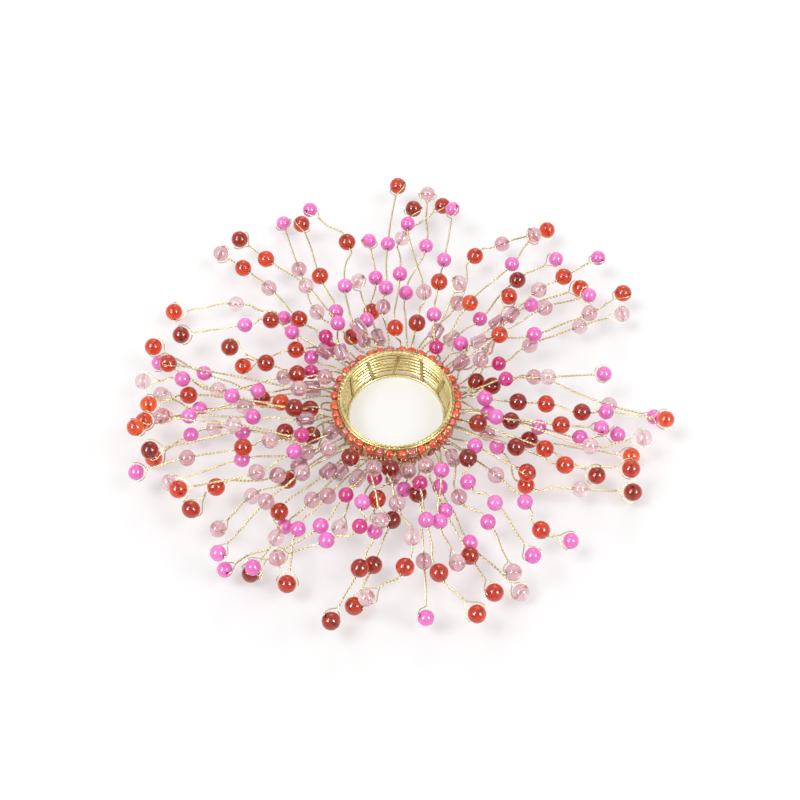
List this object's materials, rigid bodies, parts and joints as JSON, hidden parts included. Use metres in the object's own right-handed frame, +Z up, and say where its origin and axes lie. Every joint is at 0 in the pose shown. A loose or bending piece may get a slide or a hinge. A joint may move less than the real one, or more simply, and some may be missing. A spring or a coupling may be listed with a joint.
{
  "type": "candle ring",
  "caption": "Beaded wire candle ring: a wound wire band that slips round a taper candle, with a flat burst of twisted wire stems that carry glass beads.",
  "frame": {"origin": "centre of the candle bore on the plane that the ring stands on", "axes": "+Z up along the candle bore, -Y towards the front of the picture's view"},
  "size_m": [0.135, 0.1339, 0.0172],
  "materials": {
    "gold_wire": "bright drawn wire",
    "hot_pink_glass": "opaque glass, satin gloss",
    "garnet_glass": "clear dark red glass, glossy",
    "rose_glass": "clear pale rose glass, glossy",
    "orange_glass": "clear orange glass, glossy",
    "magenta_glass": "clear magenta glass, glossy",
    "mauve_glass": "clear mauve glass, glossy",
    "coral_glass": "opaque coral glass, glossy",
    "pink_lined_glass": "clear glass with a pink lining"
  },
  "bodies": {
    "ring": {"back_left_garnet_beads": "garnet_glass", "back_left_hot_pink_beads": "hot_pink_glass", "back_left_rose_beads": "rose_glass", "back_left_stems": "gold_wire", "back_right_garnet_beads": "garnet_glass", "back_right_hot_pink_beads": "hot_pink_glass", "back_right_rose_beads": "rose_glass", "back_right_stems": "gold_wire", "band_coil": "gold_wire", "band_ties": "gold_wire", "coral_seed_beads": "coral_glass", "front_left_garnet_beads": "garnet_glass", "front_left_hot_pink_beads": "hot_pink_glass", "front_left_rose_beads": "rose_glass", "front_left_stems": "gold_wire", "front_right_garnet_beads": "garnet_glass", "front_right_hot_pink_beads": "hot_pink_glass", "front_right_rose_beads": "rose_glass", "front_right_stems": "gold_wire", "left_garnet_beads": "garnet_glass", "left_hot_pink_beads": "hot_pink_glass", "left_rose_beads": "rose_glass", "left_stems": "gold_wire", "magenta_beads": "magenta_glass", "mauve_tube_beads": "mauve_glass", "orange_beads": "orange_glass", "pink_lined_seed_beads": "pink_lined_glass", "right_garnet_beads": "garnet_glass", "right_hot_pink_beads": "hot_pink_glass", "right_rose_beads": "rose_glass", "right_stems": "gold_wire", "rim_hoop_bottom": "gold_wire", "rim_hoop_top": "gold_wire", "seed_wire_lower": "gold_wire", "seed_wire_upper": "gold_wire"},
    "tip_01": {"orange_tip_bead_01": "orange_glass"},
    "tip_02": {"orange_tip_bead_02": "orange_glass"},
    "tip_03": {"orange_tip_bead_03": "orange_glass"},
    "tip_04": {"hot_pink_tip_bead_04": "hot_pink_glass"},
    "tip_05": {"garnet_tip_bead_05": "garnet_glass"},
    "tip_06": {"orange_tip_bead_06": "orange_glass"},
    "tip_07": {"hot_pink_tip_bead_07": "hot_pink_glass"},
    "tip_08": {"rose_tip_bead_08": "rose_glass"},
    "tip_09": {"garnet_tip_bead_09": "garnet_glass"},
    "tip_10": {"hot_pink_tip_bead_10": "hot_pink_glass"},
    "tip_11": {"hot_pink_tip_bead_11": "hot_pink_glass"},
    "tip_12": {"orange_tip_bead_12": "orange_glass"},
    "tip_13": {"rose_tip_bead_13": "rose_glass"},
    "tip_14": {"garnet_tip_bead_14": "garnet_glass"},
    "tip_15": {"rose_tip_bead_15": "rose_glass"},
    "tip_16": {"garnet_tip_bead_16": "garnet_glass"},
    "tip_17": {"garnet_tip_bead_17": "garnet_glass"},
    "tip_18": {"hot_pink_tip_bead_18": "hot_pink_glass"},
    "tip_19": {"garnet_tip_bead_19": "garnet_glass"},
    "tip_20": {"rose_tip_bead_20": "rose_glass"},
    "tip_21": {"garnet_tip_bead_21": "garnet_glass"},
    "tip_22": {"garnet_tip_bead_22": "garnet_glass"},
    "tip_23": {"hot_pink_tip_bead_23": "hot_pink_glass"},
    "tip_24": {"rose_tip_bead_24": "rose_glass"}
  },
  "joints": [
    {"name": "tip_01_spin", "type": "hinge", "parent": "ring", "child": "tip_01", "pos_m": [-0.06202, -0.00043, 0.00661], "axis": [-0.1889, 0.7454, 0.6393], "continuous": true},
    {"name": "tip_02_spin", "type": "hinge", "parent": "ring", "child": "tip_02", "pos_m": [-0.06236, -0.00654, 0.00862], "axis": [-0.092, 0.6703, 0.7364], "continuous": true},
    {"name": "tip_03_spin", "type": "hinge", "parent": "ring", "child": "tip_03", "pos_m": [-0.06334, -0.01142, 0.01376], "axis": [-0.5086, 0.8387, 0.195], "continuous": true},
    {"name": "tip_04_spin", "type": "hinge", "parent": "ring", "child": "tip_04", "pos_m": [-0.06308, -0.021, 0.00846], "axis": [-0.2798, 0.8061, 0.5215], "continuous": true},
    {"name": "tip_05_spin", "type": "hinge", "parent": "ring", "child": "tip_05", "pos_m": [0.05783, -0.02417, 0.00426], "axis": [-0.0763, -0.8424, -0.5335], "continuous": true},
    {"name": "tip_06_spin", "type": "hinge", "parent": "ring", "child": "tip_06", "pos_m": [0.06694, -0.00578, 0.00828], "axis": [-0.1248, -0.8498, -0.5122], "continuous": true},
    {"name": "tip_07_spin", "type": "hinge", "parent": "ring", "child": "tip_07", "pos_m": [0.06494, -0.00222, 0.00355], "axis": [-0.0407, -0.8231, 0.5665], "continuous": true},
    {"name": "tip_08_spin", "type": "hinge", "parent": "ring", "child": "tip_08", "pos_m": [0.05876, 0.02756, 0.00621], "axis": [0.2616, -0.7584, -0.597], "continuous": true},
    {"name": "tip_09_spin", "type": "hinge", "parent": "ring", "child": "tip_09", "pos_m": [0.05942, 0.03397, 0.00642], "axis": [0.6711, -0.5907, 0.448], "continuous": true},
    {"name": "tip_10_spin", "type": "hinge", "parent": "ring", "child": "tip_10", "pos_m": [0.05348, 0.0447, 0.0075], "axis": [0.5685, -0.7374, 0.3648], "continuous": true},
    {"name": "tip_11_spin", "type": "hinge", "parent": "ring", "child": "tip_11", "pos_m": [0.04261, 0.04606, 0.00525], "axis": [0.5287, -0.8438, -0.0923], "continuous": true},
    {"name": "tip_12_spin", "type": "hinge", "parent": "ring", "child": "tip_12", "pos_m": [0.04064, 0.05553, 0.00564], "axis": [0.2903, -0.7539, -0.5894], "continuous": true},
    {"name": "tip_13_spin", "type": "hinge", "parent": "ring", "child": "tip_13", "pos_m": [0.03671, 0.05127, 0.00893], "axis": [0.5333, -0.4263, -0.7306], "continuous": true},
    {"name": "tip_14_spin", "type": "hinge", "parent": "ring", "child": "tip_14", "pos_m": [0.01262, 0.06381, 0.00562], "axis": [0.5893, -0.4063, 0.6983], "continuous": true},
    {"name": "tip_15_spin", "type": "hinge", "parent": "ring", "child": "tip_15", "pos_m": [0.0086, 0.0688, 0.00464], "axis": [0.998, -0.0597, -0.0216], "continuous": true},
    {"name": "tip_16_spin", "type": "hinge", "parent": "ring", "child": "tip_16", "pos_m": [0.00045, 0.06966, 0.007], "axis": [0.7746, -0.062, 0.6294], "continuous": true},
    {"name": "tip_17_spin", "type": "hinge", "parent": "ring", "child": "tip_17", "pos_m": [-0.02555, 0.05706, 0.0063], "axis": [0.6686, 0.0903, -0.7381], "continuous": true},
    {"name": "tip_18_spin", "type": "hinge", "parent": "ring", "child": "tip_18", "pos_m": [-0.03071, 0.05953, 0.00355], "axis": [0.8743, 0.3055, 0.3773], "continuous": true},
    {"name": "tip_19_spin", "type": "hinge", "parent": "ring", "child": "tip_19", "pos_m": [-0.0418, 0.05088, 0.00756], "axis": [0.5856, 0.6614, 0.4686], "continuous": true},
    {"name": "tip_20_spin", "type": "hinge", "parent": "ring", "child": "tip_20", "pos_m": [-0.04664, 0.04667, 0.00687], "axis": [0.4048, 0.5372, 0.74], "continuous": true},
    {"name": "tip_21_spin", "type": "hinge", "parent": "ring", "child": "tip_21", "pos_m": [-0.05807, 0.02915, 0.00476], "axis": [-0.1296, 0.957, 0.2596], "continuous": true},
    {"name": "tip_22_spin", "type": "hinge", "parent": "ring", "child": "tip_22", "pos_m": [-0.06163, 0.01482, 0.00978], "axis": [0.471, 0.861, 0.1918], "continuous": true},
    {"name": "tip_23_spin", "type": "hinge", "parent": "ring", "child": "tip_23", "pos_m": [-0.06098, 0.01409, 0.00351], "axis": [0.3931, 0.779, 0.4885], "continuous": true},
    {"name": "tip_24_spin", "type": "hinge", "parent": "ring", "child": "tip_24", "pos_m": [-0.0638, 0.00558, 0.00796], "axis": [-0.0187, 0.8853, 0.4646], "continuous": true}
  ]
}
